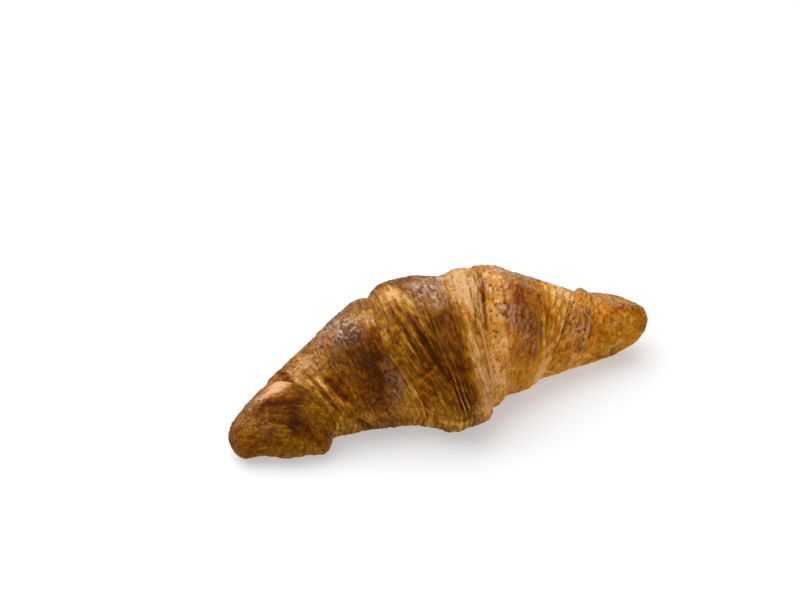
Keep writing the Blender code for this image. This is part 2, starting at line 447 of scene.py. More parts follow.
    def core(self, x: np.ndarray, angle: np.ndarray) -> np.ndarray:
        """Points of the middle line, towards which a wrap shrinks where it goes under its neighbour."""
        return np.stack([x, self.middle_line(x, angle), self.centre_height(x)], axis=-1)


ROLL = Roll()


@dataclass(frozen=True)
class Mark:
    """A line across which a wrap's form and browning are given.

    Attributes:
        place: Place along the roll at each angle.
        height: Height over the smooth form.
        browning: From 0, pale, to 1, nearly black.
        cut: From 0, closed crown, to 1, bare edges of the sheets.
        seam: Whether the form bends sharply here.
    """

    place: np.ndarray
    height: float | np.ndarray
    browning: float | np.ndarray
    cut: float
    seam: bool = False


@dataclass
class Layer:
    """What one kind of detail adds to the crust.

    Attributes:
        height: Along the crust's normals.
        browning: On the scale of a mark's browning.
        film_and_highlight: Pale, lifted film together with painted highlights and glints, from 0 to 1.
        flush: Redness, from 0 to 1.
    """

    height: float | np.ndarray = 0.0
    browning: float | np.ndarray = 0.0
    film_and_highlight: float | np.ndarray = 0.0
    flush: float | np.ndarray = 0.0

    def __add__(self, other: "Layer") -> "Layer":
        """Adds two layers value by value."""
        return Layer(self.height + other.height, self.browning + other.browning,
                     self.film_and_highlight + other.film_and_highlight, self.flush + other.flush)


@dataclass(frozen=True)
class Spots:
    """Round spots on the crust, one in each cell of a jittered lattice except the bare cells.

    Attributes:
        spacing: Mean distance from spot to spot.
        radius: Radius of a spot, in cells.
        edge: Width of its soft edge, in cells.
        bare_share: Share of the cells without a spot.
        seed: Added to the wrap's own.
    """

    spacing: float
    radius: float
    edge: float
    bare_share: float
    seed: int

    def at(self, points: np.ndarray, seed: int) -> np.ndarray:
        """1 inside a spot, easing to 0 at its radius."""
        nearest, _, own = cells(points / self.spacing, seed + self.seed)
        return ease((self.radius - nearest) / self.edge) * (own > self.bare_share)


LARGE_BLISTERS = Spots(2.3, 0.62, 0.45, 0.45, 6)
FINE_BLISTERS = Spots(1.15, 0.6, 0.5, 0.4, 7)
PITS = Spots(1.7, 0.52, 0.3, 0.3, 20)


@dataclass(frozen=True)
class Ground:
    """The grid of a wrap, on which its details lie.

    Attributes:
        x: Place along the roll.
        across: Distance across the wrap.
        angle: Angle round the roll.
        points: Place in space, without fine relief.
        cut: From 0, closed crown, to 1, bare edges of the sheets.
        fine: 1 on a fine blister.
        pit: 1 in a pit.
        seed: The wrap's own.
    """

    x: np.ndarray
    across: np.ndarray
    angle: np.ndarray
    points: np.ndarray
    cut: np.ndarray
    fine: np.ndarray
    pit: np.ndarray
    seed: int


class Detail:
    """A kind of relief and browning on the crust."""

    def layer(self, ground: Ground) -> Layer:
        """What the detail adds on the ground.

        Args:
            ground: What the detail lies on.

        Returns:
            Height, browning, film and highlight, and flush, on the whole grid.
        """
        raise NotImplementedError


@dataclass(frozen=True)
class Patch(Detail):
    """A soft-edged place that is browner, paler, greyer or redder than the crust round it.

    Its strength swings by noise about a mean, and off the blisters a share of its film and highlight is
    left.
    """

    what: str
    along: float
    angle: float
    reach: float
    spread: float
    browning: float = 0.0
    film_and_highlight: float = 0.0
    flush: float = 0.0
    pits: float = 0.0
    pit_depth: float = 0.5
    grain: float = 3.0
    mean: float = 0.8
    swing: float = 0.5
    smooth_film_and_highlight: float = 0.5

    def layer(self, ground: Ground) -> Layer:
        """Values times a weight: a bell along the roll times a bell round it, made uneven by noise.

        The pale film and painted highlight lie mostly on fine blisters and never in pits.

        Args:
            ground: What the patch lies on.

        Returns:
            The patch's layer.
        """
        turn = turn_from(ground.angle, self.angle) / math.radians(self.spread)
        uneven = self.mean + self.swing * layered_noise(ground.points / self.grain, ground.seed + 10, 2)
        weight = bell((ground.x - self.along) / self.reach) * bell(turn) * uneven
        whole = 1.0 - ground.pit * (self.pits > 0.0)
        film = self.smooth_film_and_highlight + (1.0 - self.smooth_film_and_highlight) * ground.fine
        return Layer(height=-self.pit_depth * self.pits * ground.pit * weight,
                     browning=(self.browning + self.pits * ground.pit) * weight,
                     film_and_highlight=self.film_and_highlight * weight * film * whole,
                     flush=self.flush * weight)


@dataclass(frozen=True)
class Crease(Detail):
    """A cut or fold in the crust from one place to another, with a lip of lifted crust along one side.

    It sways as a wave along its length. Angles become millimetres by the unrolled radius, and the lip's
    distance and the sway count in widths.
    """

    what: str
    start: tuple[float, float]
    end: tuple[float, float]
    width: float
    depth: float
    lip: float = 0.0
    browning: float = 0.35
    lip_browning: float = -0.1
    sway: float = 0.35
    sway_turn: float = 9.0
    lip_distance: float = 1.7
    taper: float = 0.3
    unrolled_radius: float = 24.0

    def layer(self, ground: Ground) -> Layer:
        """A bell for the groove and a shifted bell for the lip.

        They are taken of the distance from the straight line between the crease's ends, on the unrolled
        crust, and taper to nothing at those ends.

        Args:
            ground: What the crease lies on.

        Returns:
            The crease's layer.
        """
        x0, turn0 = self.start
        x1, turn1 = self.end
        way = np.array([x1 - x0, math.radians(turn1 - turn0) * self.unrolled_radius])
        length = float(np.hypot(*way))
        way = way / length
        off_x = ground.x - x0
        off_turn = turn_from(ground.angle, turn0) * self.unrolled_radius
        along = (off_x * way[0] + off_turn * way[1]) / length
        beside = off_turn * way[0] - off_x * way[1]
        beside = beside + self.sway * self.width * np.sin(along * self.sway_turn)
        taper = ease(along / self.taper) * ease((1.0 - along) / self.taper)
        groove = bell(beside / self.width) * taper
        raised = bell(beside / self.width - self.lip_distance) * taper
        # The groove is browner: partly toasted crust, partly painted shade in the groove
        return Layer(height=self.lip * raised - self.depth * groove,
                     browning=self.browning * groove + self.lip_browning * raised)


@dataclass(frozen=True)
class Sheets:
    """Edges of stacked dough sheets of one width.

    The edges wander across, with a finer ripple; each of the two is noise with a height, a size across and
    the radius of a circle round the roll, and each sheet has its own strength. Gaps count in sheets.
    """

    spacing: float
    seed: int
    drop_start: float = 0.8
    gap_place: float = 0.03
    gap_width: float = 0.1
    wander: float = 1.1
    wander_size: float = 7.0
    wander_radius: float = 2.4
    ripple: float = 0.28
    ripple_size: float = 2.6
    ripple_radius: float = 8.0
    own_radius: float = 7.0
    own_mean: float = 0.55
    own_swing: float = 0.75

    def at(self, across: np.ndarray, angle: np.ndarray, seed: int) -> tuple[np.ndarray, np.ndarray]:
        """Form of the sheets.

        The distance across, bent by noise, is counted in sheets. Within one sheet the height eases up and
        then drops at once. Each sheet's strength comes and goes round the roll.

        Args:
            across: Distance across the wrap.
            angle: Angle round the roll.
            seed: The wrap's own seed.

        Returns:
            Height from 0 to 1, and the same for the dark gap after each sheet.
        """
        seed = seed + self.seed
        slow = round_roll(across / self.wander_size, angle, self.wander_radius)
        quick = round_roll(across / self.ripple_size, angle, self.ripple_radius)
        bent = across + self.wander * layered_noise(slow, seed, 2)
        bent = bent + self.ripple * layered_noise(quick, seed + 7, 2)
        sheet = np.floor(bent / self.spacing)
        part = bent / self.spacing - sheet
        own = noise(round_roll(sheet * FAR_APART, angle, self.own_radius), seed + 19)
        strength = ease(self.own_mean + self.own_swing * own)
        drop = ease((part - self.drop_start) / (1.0 - self.drop_start))
        height = ease(part / self.drop_start) * (1.0 - drop) * strength
        gap = sum(bell((part - place) / self.gap_width) for place in (1.0 - self.gap_place, -self.gap_place))
        return height, gap * strength


WIDE_SHEETS = Sheets(2.3, 2)
THIN_SHEETS = Sheets(0.85, 3)


@dataclass(frozen=True)
class SheetEdges(Detail):
    """How strongly the edges of wide and thin sheets show on a wrap.

    A share of them shows on a closed crown, and a share of their height is left over the back. They look
    away from the crown: to the far tip, to the near one, or on both sides and turn over on the way across.
    """

    height: float = 0.7
    thin_height: float = 0.22
    on_crown: float = 0.15
    calm: Course = Course(1.0, 0.35, 148.0, 30.0)
    # Darkening of the gaps between sheets: toasted edges and painted shade
    gap_toast_and_shade: float = 0.3
    thin_gap_toast_and_shade: float = 0.14
    edge_paling: float = 0.18
    facing: Facing = Facing.FAR
    turn_over: float = 0.45
    turn_reach: float = 0.15
    mirror_seed: int = 50

    def layer(self, ground: Ground) -> Layer:
        """Relief and browning of the sheets.

        The pattern is worked out once counting down across the wrap and once counting up, and the two are
        blended by the share of the edges that look to the far tip.

        Args:
            ground: What the sheets lie on.

        Returns:
            The sheets' layer.
        """
        across = ground.across
        share = np.full_like(across, 1.0 if self.facing is Facing.FAR else 0.0)
        if self.facing is Facing.BOTH:
            share = ease((across / across.max() - self.turn_over) / self.turn_reach)
        blended = []
        for sheets in (WIDE_SHEETS, THIN_SHEETS):
            down = sheets.at(-across, ground.angle, ground.seed)
            up = sheets.at(across, ground.angle, ground.seed + self.mirror_seed)
            blended += [d + (u - d) * share for d, u in zip(down, up)]
        wide, wide_gap, thin, thin_gap = blended
        shown = self.on_crown + (1.0 - self.on_crown) * ground.cut
        relief = self.height * (wide - 0.5) + self.thin_height * (thin - 0.5)
        # Gaps between sheets are darker: partly toasted edges, partly painted shade in the gaps
        tone = self.gap_toast_and_shade * wide_gap + self.thin_gap_toast_and_shade * thin_gap - self.edge_paling * wide
        return Layer(height=self.calm.at(ground.angle) * shown * relief, browning=shown * tone)


@dataclass(frozen=True)
class Lumps(Detail):
    """Lumps of dough under the crust, with smaller knobs on them."""

    height: float = 0.45
    size: float = 13.0
    knob_size: float = 5.0
    knob_share: float = 0.4

    def layer(self, ground: Ground) -> Layer:
        """Noise of the lumps' size plus a share of noise of the knobs' size, times the height.

        Args:
            ground: What the lumps lie on.

        Returns:
            Their height.
        """
        lumps = layered_noise(ground.points / self.size, ground.seed + 4, 2)
        knobs = layered_noise(ground.points / self.knob_size, ground.seed + 5, 2)
        return Layer(height=self.height * (lumps + self.knob_share * knobs))


@dataclass(frozen=True)
class Plates(Detail):
    """Plates of the browned film, each a little higher and browner than the next or lower and paler.

    A circle round the roll stands for the way along the sheets. The radius, the bend, the edge and the
    width of a crack count in plates, and the seeds are added to the wrap's own.
    """

    width: float
    radius: float
    bend: float
    bend_size: float
    edge: float
    height: float
    browning: float
    bend_seed: int
    seed: int
    crack_depth: float = 0.0
    crack_browning: float = 0.0
    crack_width: float = 0.07
    crack_area: float = 8.0
    crack_mean: float = 0.2
    crack_swing: float = 1.2

    def layer(self, ground: Ground) -> Layer:
        """Relief and browning of the plates and of the cracks between some of them.

        The distance across and a circle round the roll, counted in plates and bent by noise, fall into the
        cells of a jittered lattice. A plate's height is its cell's own number, eased in from the border. A
        crack is a bell along the border, in the places that noise picks.

        Args:
            ground: What the plates lie on.

        Returns:
            The plates' layer.
        """
        points, seed = ground.points, ground.seed
        bend = self.bend * noise(points / self.bend_size, seed + self.bend_seed)
        way = round_roll(ground.across / self.width, ground.angle, self.radius) + bend[..., None]
        _, border, own = cells(way, seed + self.seed)
        own = own - 0.5
        picked = ease(self.crack_mean + self.crack_swing * noise(points / self.crack_area, seed + 13))
        crack = bell(border / self.crack_width) * picked
        return Layer(height=self.height * own * ease(border / self.edge) - self.crack_depth * crack,
                     browning=self.browning * own + self.crack_browning * crack)


FLAKES = Plates(width=3.6, radius=3.2, bend=0.35, bend_size=3.0, edge=0.2, height=0.28, browning=0.16,
                bend_seed=12, seed=11, crack_depth=0.1, crack_browning=0.08)
CHIPS = Plates(width=1.4, radius=9.0, bend=0.3, bend_size=2.0, edge=0.25, height=0.16, browning=0.2,
               bend_seed=14, seed=15)


@dataclass(frozen=True)
class Blisters(Detail):
    """Blisters that steam has raised in the browned film of the crowns."""

    height: float = 0.34
    fine_share: float = 0.45
    area: float = 9.0
    mean: float = 0.35
    swing: float = 1.1
    paling: float = 0.14
    # Pale flecks on the blisters: lifted film and painted glints
    large_film_and_glint: float = 0.15
    fine_film_and_glint: float = 0.25

    def layer(self, ground: Ground) -> Layer:
        """Large and fine spots, in the places of the closed crown that noise picks, with pale film and
        painted glints on them.

        Args:
            ground: What the blisters lie on.

        Returns:
            The blisters' layer.
        """
        large = LARGE_BLISTERS.at(ground.points, ground.seed)
        area = layered_noise(ground.points / self.area, ground.seed + 8, 2)
        picked = ease(self.mean + self.swing * area)
        share = picked * (1.0 - ground.cut)
        return Layer(height=self.height * share * (large + self.fine_share * ground.fine),
                     browning=-self.paling * share * ground.fine,
                     film_and_highlight=share * (self.large_film_and_glint * large + self.fine_film_and_glint * ground.fine))


@dataclass(frozen=True)
class Baking(Detail):
    """Uneven heat of the oven over a wrap, and a painted highlight along its top."""

    flush: float = 0.14
    flush_swing: float = 0.5
    flush_size: float = 8.0
    mottling: float = 0.2
    mottle_size: float = 6.0
    top_highlight: float = 0.3
    smooth_film_and_highlight: float = 0.3
    top: float = 166.0
    top_spread: float = 22.0
    waist_paling: float = 0.1
    waist_start: float = 250.0
    waist_full: float = 288.0
    waist_end: float = 340.0

    def layer(self, ground: Ground) -> Layer:
        """Noise in browning and redness, a painted highlight along the top as a bell of pale film, and an
        ease to a paler foot.

        Args:
            ground: The crust that is baked.

        Returns:
            The baking's layer.
        """
        points, seed = ground.points, ground.seed
        degrees = np.degrees(ground.angle)
        mottled = self.mottling * layered_noise(points / self.mottle_size, seed + 9, 3)
        waist = ease((degrees - self.waist_start) / (self.waist_full - self.waist_start))
        # Painted highlight: a bell of pale film along the top, strongest on the fine blisters
        film = self.smooth_film_and_highlight + (1.0 - self.smooth_film_and_highlight) * ground.fine
        film = bell((degrees - self.top) / self.top_spread) * film
        reddened = self.flush_swing * layered_noise(points / self.flush_size, seed + 16, 2)
        return Layer(browning=mottled - self.waist_paling * waist * (degrees < self.waist_end),
                     film_and_highlight=self.top_highlight * film, flush=self.flush + reddened)


@dataclass(frozen=True)
class Surface:
    """Grid of a wrap's outer face, with rows across the wrap and columns round the roll.

    Attributes:
        points: Places in millimetres.
        fields: The attributes that the crust's material reads, by name.
        grain: Coordinates that follow the sheets: across the wrap, and two that go once round the roll.
    """

    points: np.ndarray
    fields: dict[str, np.ndarray]
    grain: np.ndarray


def closed_mesh(name: str, rows: np.ndarray, start: np.ndarray, end: np.ndarray) -> bpy.types.Mesh:
    """Mesh of a tube of rings that closes on a point at each end, its faces outwards.

    Args:
        name: The mesh's name.
        rows: Rings in millimetres, ordered along the roll; each goes from straight down over the back.
        start: Closing point before the first ring.
        end: Closing point after the last ring.

    Returns:
        The mesh, in metres.
    """
    count, around = rows.shape[:2]
    points = np.concatenate([rows.reshape(-1, 3), start[None], end[None]]) * MM
    here = np.arange(around)
    after = (here + 1) % around
    ring = (np.arange(count - 1) * around)[:, None]
    quads = np.stack([ring + here, ring + after, ring + around + after, ring + around + here], axis=-1)
    last = (count - 1) * around
    first_cap = np.stack([np.full(around, count * around), after, here], axis=-1)
    last_cap = np.stack([np.full(around, count * around + 1), last + here, last + after], axis=-1)
    faces = quads.reshape(-1, 4).tolist() + first_cap.tolist() + last_cap.tolist()
    mesh = bpy.data.meshes.new(name)
    mesh.from_pydata(points.tolist(), [], faces)
    mesh.shade_smooth()
    return mesh


def linear(colour: str) -> tuple[float, float, float, float]:
    """Linear colour of an sRGB hex value: the standard's straight foot and 2.4 power above it.

    Args:
        colour: A hash sign and six hex digits.

    Returns:
        Red, green and blue from 0 to 1, and a 1 for alpha.
    """
    parts = [int(colour[i:i + 2], 16) / 255.0 for i in (1, 3, 5)]
    found = [c / 12.92 if c <= 0.04045 else ((c + 0.055) / 1.055) ** 2.4 for c in parts]
    return (*found, 1.0)


def add(tree: bpy.types.NodeTree, kind: str, settings: dict | None = None,
        links: dict | None = None, **options: object) -> bpy.types.Node:
    """Adds a node.

    Args:
        tree: The material's node tree.
        kind: Blender's name of the node type.
        settings: Values for its input sockets, by name or place.
        links: Output sockets to join to its inputs, by name or place.
        **options: Values for the node's own properties.

    Returns:
        The node.
    """
    made = tree.nodes.new(kind)
    for option, value in options.items():
        setattr(made, option, value)
    for socket, value in (settings or {}).items():
        made.inputs[socket].default_value = value
    for socket, source in (links or {}).items():
        tree.links.new(source, made.inputs[socket])
    return made


@dataclass(frozen=True)
class Crust:
    """Egg-washed laminated dough, baked until its sugars brown.

    That gives the eye a thin glossy film over the crowns, dry matt edges where the sheets are bare, and
    colours from straw over gold and chestnut to nearly black, in streaks that follow the sheets.
    """

    pale: str
    golden: str
    amber: str
    brown: str
    dark: str
    # Pale colour of lifted film, also used for painted highlights and glints
    film_and_highlight: str
    redness: tuple[float, ...] = (1.0, 0.62, 0.3, 1.0)
    mottle_size: float = 2.0
    mottle_share: float = 0.5
    streak_size: float = 0.8
    crown_streaks: float = 0.52
    cut_streaks: float = 0.55
    chips_across: float = 1.1
    chips_along: float = 3.4
    chip_share: float = 0.22
    speck_start: float = 0.5
    speck_full: float = 0.7
    speck_least: float = 0.15
    pore_size: float = 0.35
    relief_height: float = 0.12
    relief_strength: float = 0.5
    streak_relief: float = 0.6
    crown_roughness: float = 0.44
    cut_roughness: float = 0.62
    film_weight: float = 0.6
    film_roughness: float = 0.28
    ior: float = 1.45
    specular: float = 0.04

    def material(self, name: str) -> bpy.types.Material:
        """Material whose colour comes from the browning attribute and three scales of mottling.

        Args:
            name: The material's name.

        Returns:
            The material.
        """
        made = bpy.data.materials.new(name)
        made.use_nodes = True
        tree = made.node_tree
        surface = tree.nodes["Principled BSDF"]
        place = add(tree, "ShaderNodeTexCoord").outputs["Object"]
        grain = add(tree, "ShaderNodeAttribute", attribute_name="grain").outputs["Vector"]
        browning, cut, film_and_highlight, flush = (
            add(tree, "ShaderNodeAttribute", attribute_name=field).outputs["Fac"]
            for field in ("browning", "cut", "film_and_highlight", "flush"))
        # Mottling of the browned film, from 2 mm down to 0.3 mm across
        mottle = add(tree, "ShaderNodeTexNoise",
                     {"Scale": 1.0 / (self.mottle_size * MM), "Detail": 4.0, "Roughness": 0.7},
                     {"Vector": place}).outputs["Fac"]
        # Streaks along the sheets, from 0.8 mm down to 0.2 mm wide: real sheets are 0.1 mm, too fine to show
        streak = add(tree, "ShaderNodeTexNoise",
                     {"Scale": 1.0 / self.streak_size, "Detail": 3.0, "Roughness": 0.62},
                     {"Vector": grain}).outputs["Fac"]
        # Chips of browned film, about 0.9 mm wide and 1.8 mm long, each baked on its own
        chip_place = add(tree, "ShaderNodeVectorMath",
                         {1: (self.chips_across, self.chips_along, self.chips_along)}, {0: grain},
                         operation="MULTIPLY").outputs["Vector"]
        chip = add(tree, "ShaderNodeTexVoronoi", {"Scale": 1.0, "Randomness": 1.0},
                   {"Vector": chip_place}).outputs["Color"]
        chips = add(tree, "ShaderNodeSeparateColor", links={"Color": chip}).outputs
        # Each pattern moves the browning up and down, the streaks most where the sheets are bare
        streak_share = add(tree, "ShaderNodeMath", {1: self.cut_streaks, 2: self.crown_streaks}, {0: cut},
                           operation="MULTIPLY_ADD").outputs[0]
        shares = (({1: self.mottle_share}, {}), ({1: self.chip_share}, {}), ({}, {1: streak_share}))
        for pattern, (values, links) in zip((mottle, chips["Red"], streak), shares):
            swing = add(tree, "ShaderNodeMath", {1: 0.5}, {0: pattern}, operation="SUBTRACT").outputs[0]
            browning = add(tree, "ShaderNodeMath", values, {0: swing, 2: browning, **links},
                           operation="MULTIPLY_ADD").outputs[0]
        ramp = add(tree, "ShaderNodeValToRGB", links={0: browning})
        stops = (self.pale, self.golden, self.amber, self.brown, self.dark)
        places = np.linspace(0.0, 1.0, len(stops))
        scale = ramp.color_ramp
        for at in places[1:-1]:
            scale.elements.new(at)
        for element, at, stop in zip(scale.elements, places, stops):
            element.position = at
            element.color = linear(stop)
        # Malt and sugar redden some places more than others
        reddened = add(tree, "ShaderNodeMix", {"B": self.redness},
                       {"Factor": flush, "A": ramp.outputs["Color"]},
                       data_type="RGBA", blend_type="MULTIPLY").outputs["Result"]
        # The film has lifted in single chips, which look pale; the same pale mix also paints the highlights
        # and glints on tops and blisters
        speck = add(tree, "ShaderNodeMapRange",
                    {"From Min": self.speck_start, "From Max": self.speck_full, "To Min": self.speck_least},
                    {"Value": chips["Green"]}).outputs[0]
        lifted = add(tree, "ShaderNodeMath", links={0: film_and_highlight, 1: speck}, operation="MULTIPLY",
                     use_clamp=True).outputs[0]
        colour = add(tree, "ShaderNodeMix", {"B": linear(self.film_and_highlight)}, {"Factor": lifted, "A": reddened},
                     data_type="RGBA").outputs["Result"]
        rough = add(tree, "ShaderNodeMapRange",
                    {"To Min": self.crown_roughness, "To Max": self.cut_roughness},
                    {"Value": cut}).outputs[0]
        film = add(tree, "ShaderNodeMapRange", {"To Max": self.film_weight}, {"Value": lifted}).outputs[0]
        # Pores of the dry crust, about 0.35 mm, and the streaks' relief
        pores = add(tree, "ShaderNodeTexNoise", {"Scale": 1.0 / (self.pore_size * MM), "Detail": 2.0},
                    {"Vector": place}).outputs["Fac"]
        height = add(tree, "ShaderNodeMath", {1: self.streak_relief}, {0: streak, 2: pores},
                     operation="MULTIPLY_ADD").outputs[0]
        bump = add(tree, "ShaderNodeBump",
                   {"Strength": self.relief_strength, "Distance": self.relief_height * MM},
                   {"Height": height}).outputs["Normal"]
        for socket, source in (("Base Color", colour), ("Roughness", rough), ("Coat Weight", film),
                               ("Normal", bump)):
            tree.links.new(source, surface.inputs[socket])
        surface.inputs["Coat Roughness"].default_value = self.film_roughness
        surface.inputs["IOR"].default_value = self.ior
        surface.inputs["Specular IOR Level"].default_value = self.specular
        return made


# The wraps of the near half take a darker, more olive palette, those of the far half a golden one
OLIVE_CRUST = Crust("#CB9E68", "#AC7B2D", "#885A08", "#693C02", "#412000", "#C2A08A")
GOLDEN_CRUST = Crust("#DCAE70", "#C8872C", "#A96C10", "#864D05", "#522A00", "#CCA88A")


@dataclass
class Wrap:
    """One wrap of dough: its outer face from mark to mark, and its hidden ends inside the roll.

    Its sheets are bare where the marks' cut, made ragged by noise, passes cut_start, and wholly so after
    cut_reach more. Browning past scorch_start counts less by scorch_share. A tucked end runs on for
    tuck_length and shrinks by tuck_share.
    """

    name: str
    near_side: Side
    far_side: Side
    crust: Crust
    seed: int
    row_spacing: float = 0.2
    near_lip: Course = Course(0.9)
    far_lip: Course = Course(0.9)
    lip_fade: float = 2.2
    edges: SheetEdges = SheetEdges()
    lumps: Lumps = Lumps()
    blisters: Blisters = Blisters()
    baking: Baking = Baking()
    cut_size: float = 4.0
    cut_raggedness: float = 0.3
    cut_start: float = 0.12
    cut_reach: float = 0.35
    scorch_start: float = 0.72
    scorch_share: float = 0.5
    underside_share: float = 0.15
    tuck_length: float = 5.0
    tuck_share: float = 0.15
    patches: tuple[Patch, ...] = ()
    creases: tuple[Crease, ...] = ()

    def marks(self, angle: np.ndarray) -> list[Mark]:
        """The wrap's lines in their order along the roll.

        Args:
            angle: Angles round the roll.

        Returns:
            The marks in their order along the roll.
        """
        raise NotImplementedError

    def outer_grid(self, angle: np.ndarray) -> dict[str, np.ndarray]:
        """Values on the grid from the first to the last mark.

        Between two marks the place goes straight across, and the height by a quarter sine from a seam, a
        quarter cosine to a seam, and an ease elsewhere. Towards a tip the rows lie closer by a quarter wave.
        The distance across adds up the marks' mean distances.

        Args:
            angle: The columns' angles.

        Returns:
            Place, height, browning, cut and distance across, by name, with rows across the wrap.
        """
        lines = self.marks(angle)
        flat = np.ones_like(angle)
        found: dict[str, list[np.ndarray]] = {"x": [], "height": [], "browning": [], "cut": [], "across": []}
        before = 0.0
        for i, (start, end) in enumerate(zip(lines[:-1], lines[1:])):
            width = float(np.mean(end.place - start.place))
            count = max(3, round(width / self.row_spacing))
            tip_start = i == 0 and self.near_side is Side.TIP
            tip_end = i == len(lines) - 2 and self.far_side is Side.TIP
            first = 1 if tip_start else 0
            last = count if i < len(lines) - 2 or tip_end else count + 1
            t = np.arange(first, last)[:, None] / count
            if tip_start:
                t = slow_start(t)
            if tip_end:
                t = fast_start(t)
            share = ease(t)
            if start.seam:
                share = fast_start(t)
            elif end.seam:
                share = slow_start(t)
            spans = (("x", start.place, end.place, t), ("height", start.height, end.height, share),
                     ("browning", start.browning, end.browning, t), ("cut", start.cut, end.cut, t),
                     ("across", before, before + width, t))
            for key, first_value, last_value, way in spans:
                found[key].append((first_value + (last_value - first_value) * way) * flat)
            before += width
        return {key: np.concatenate(parts) for key, parts in found.items()}

    def lips(self, grid: dict[str, np.ndarray], angle: np.ndarray) -> np.ndarray:
        """Extra height of the edges that lie on a neighbour: a ragged, rounded step that fades inwards.

        Args:
            grid: What outer_grid gives.
            angle: The columns' angles, on the whole grid.

        Returns:
            Height to add on the whole grid.
        """
        step = np.zeros_like(grid["x"])
        ring = LIP_RADIUS * np.stack([np.cos(angle), np.sin(angle), np.zeros_like(angle)], axis=-1)
        across = grid["across"]
        ends = ((self.near_side, self.near_lip, across), (self.far_side, self.far_lip, across[-1:] - across))
        for side, lip, off in ends:
            if side is Side.FOOT:
                ragged = lip.at(angle) * (LIP_MEAN + LIP_SWING * layered_noise(ring, self.seed + 31, 3))
                rounded = LIP_EDGE_SHARE + (1.0 - LIP_EDGE_SHARE) * ease(off / LIP_EDGE)
                step = step + ragged * np.exp(-off / self.lip_fade) * rounded
        return step

    def detail(self, grid: dict[str, np.ndarray], angle: np.ndarray,
               points: np.ndarray) -> tuple[np.ndarray, dict[str, np.ndarray]]:
        """Fine relief and the attributes that go with it: all layers added up, the darkest places held back.

        Args:
            grid: What outer_grid gives.
            angle: The columns' angles, on the whole grid.
            points: The grid's places without fine relief.

        Returns:
            Height along the normals, and browning, cut, film and highlight, and flush by name.
        """
        ragged = self.cut_raggedness * layered_noise(points / self.cut_size, self.seed + 1, 3)
        cut = ease((grid["cut"] + ragged - self.cut_start) / self.cut_reach)
        fine = FINE_BLISTERS.at(points, self.seed)
        pit = PITS.at(points, self.seed)
        ground = Ground(grid["x"], grid["across"], angle, points, cut, fine, pit, self.seed)
        details = (FLAKES, CHIPS, self.edges, self.lumps, self.blisters, self.baking, *self.patches,
                   *self.creases)
        total = sum((detail.layer(ground) for detail in details), Layer(browning=grid["browning"]))
        scorched = np.maximum(total.browning - self.scorch_start, 0.0)
        browning = total.browning - self.scorch_share * scorched
        return total.height, {"browning": browning, "cut": cut, "film_and_highlight": np.clip(total.film_and_highlight, 0.0, 1.0),
                              "flush": np.clip(total.flush, 0.0, 1.0)}

    def outer_face(self, angle: np.ndarray) -> Surface:
        """The wrap's visible face: the shared form with its lips, moved out by the fine relief.

        A normal is the cross product of the grid's steps round the roll and across the wrap.

        Args:
            angle: The columns' angles.

        Returns:
            The face's grid.
        """
        grid = self.outer_grid(angle)
        turned = np.broadcast_to(angle, grid["x"].shape)
        points = ROLL.skin(grid["x"], turned, grid["height"] + self.lips(grid, angle))
        height, fields = self.detail(grid, turned, points)
        round_way = np.roll(points, -1, axis=1) - np.roll(points, 1, axis=1)
        normal = np.cross(round_way, np.gradient(points, axis=0))
        normal = normal / np.maximum(np.linalg.norm(normal, axis=-1, keepdims=True), 1e-9)
        shown = self.underside_share + (1.0 - self.underside_share) * ROLL.relief_share(turned)
        lifted = points + normal * (height * shown)[..., None]
        lifted[..., 2] = np.maximum(lifted[..., 2], 0.0)
        return Surface(lifted, fields, round_roll(grid["across"], turned, GRAIN_RADIUS))

    def closing(self, ring: np.ndarray, angle: np.ndarray, side: Side,
                outwards: float) -> tuple[np.ndarray, np.ndarray]:
        """Hidden rings that carry an end of the wrap into the roll, and the point that closes it.

        A tucked end goes on outwards while it shrinks towards the middle line. A foot bulges a little, turns
        under and goes back inwards. Both close on their last ring's middle. A tip closes on the roll's end.

        Args:
            ring: The last ring that shows.
            angle: The columns' angles.
            side: How the wrap ends here.
            outwards: -1 towards the near tip, +1 towards the far tip.

        Returns:
            The rings, ordered away from the visible face, and the point.
        """
        if side is Side.TIP:
            end = ROLL.skin(np.array([outwards * ROLL.half_length]), np.array([math.pi]), np.zeros(1))[0]
            return np.empty((0, *ring.shape)), end
        steps = FOOT_RINGS
        if side is Side.TUCK:
            steps = tuple((self.tuck_length * t, 1.0 - self.tuck_share * float(ease(np.array(t))))
                          for t in TUCK_RINGS)
        rings = []
        for step, share in steps:
            core = ROLL.core(ring[:, 0], angle)
            moved = core + (ring - core) * share
            moved[:, 0] = ring[:, 0] + outwards * step
            rings.append(moved)
        return np.array(rings), rings[-1].mean(axis=0)

